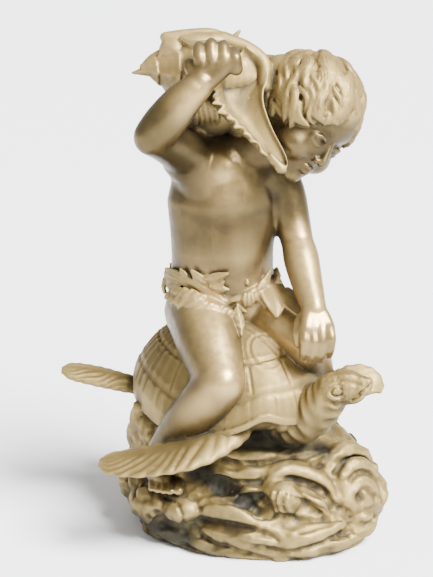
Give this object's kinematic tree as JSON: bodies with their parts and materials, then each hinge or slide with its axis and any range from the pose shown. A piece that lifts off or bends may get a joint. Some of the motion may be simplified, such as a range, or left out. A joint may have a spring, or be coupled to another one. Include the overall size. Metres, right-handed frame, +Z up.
{
  "type": "bronze boy statue",
  "caption": "Cast bronze garden statue of a child astride a sea turtle, holding a conch to one ear, on a wave-carved rock base that stands on its flat underside.",
  "frame": {"origin": "middle of the base's flat underside", "axes": "+Z up, -Y towards the side that the child faces, +X towards the turtle's head"},
  "size_m": [0.5321, 0.404, 0.8004],
  "materials": {
    "bronze": "golden-brown bronze patina, darker in the hollows with a trace of green, rubbed bright on the chest, forearm, thigh and shin"
  },
  "bodies": {
    "root": {"bronze_statue": "bronze"}
  },
  "joints": []
}
